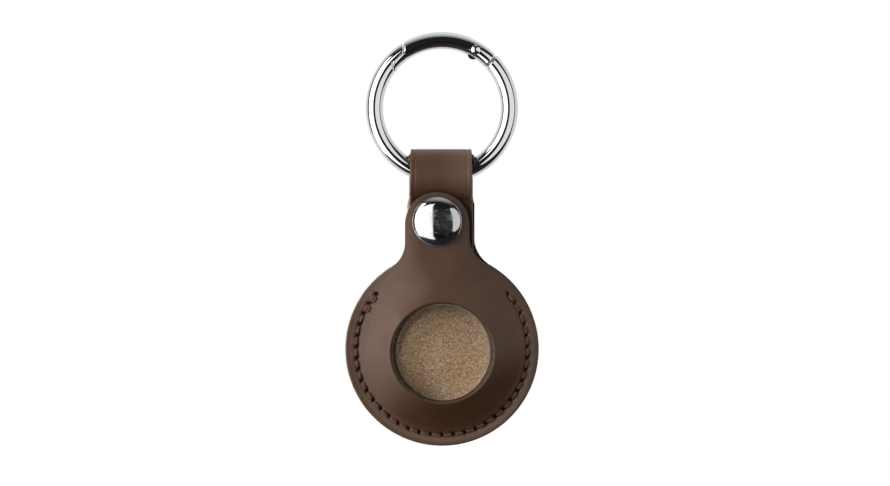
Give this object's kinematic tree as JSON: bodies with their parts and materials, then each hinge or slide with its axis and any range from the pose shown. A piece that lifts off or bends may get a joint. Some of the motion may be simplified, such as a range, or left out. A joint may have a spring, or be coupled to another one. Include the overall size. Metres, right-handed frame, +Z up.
{
  "type": "tracker tag holder",
  "caption": "Round stitched leather pocket with a window for a coin-shaped tracker tag, closed by a snap flap and hung by its strap loop on a chrome ring with a sprung gate.",
  "frame": {"origin": "centre of the ring's opening", "axes": "+X to the right seen from the front, +Y from the front to the back, +Z up along the hanging strap"},
  "size_m": [0.0484, 0.016, 0.1034],
  "materials": {
    "chrome": "polished plate",
    "spring_steel": "drawn wire",
    "leather": "smooth, fine grain",
    "suede": "napped suede",
    "thread": "waxed thread"
  },
  "bodies": {
    "ring": {"ring_body": "chrome", "gate_pin": "chrome"},
    "gate": {"ring_gate": "chrome", "gate_spring": "spring_steel"},
    "holder": {"back_panel": "leather", "back_lining": "suede", "front_panel": "leather", "front_lining": "suede", "front_stitches": "thread", "back_stitches": "thread", "snap_stud": "chrome", "snap_post": "chrome"},
    "flap": {"front_flap": "leather", "flap_lining": "suede", "snap_cap": "chrome", "snap_socket": "chrome", "socket_clip": "spring_steel"}
  },
  "joints": [
    {"name": "gate_pivot", "type": "hinge", "parent": "ring", "child": "gate", "pos_m": [0.00844, 0, 0.01461], "axis": [0, -1, 0], "range_deg": [0, 40], "stiffness_Nm_per_rad": 0.05, "springref_deg": -28.65, "deforming": ["gate_spring"]},
    {"name": "ring_swing", "type": "hinge", "parent": "ring", "child": "holder", "pos_m": [0, 0, -0.01688], "axis": [1, 0, 0], "range_deg": [-90, 90]},
    {"name": "flap_fold", "type": "hinge", "parent": "holder", "child": "flap", "pos_m": [0, -0.0069, -0.04525], "axis": [1, 0, 0], "range_deg": [0, 50], "stiffness_Nm_per_rad": 0.01, "springref_deg": -8.59, "deforming": ["socket_clip"]}
  ]
}
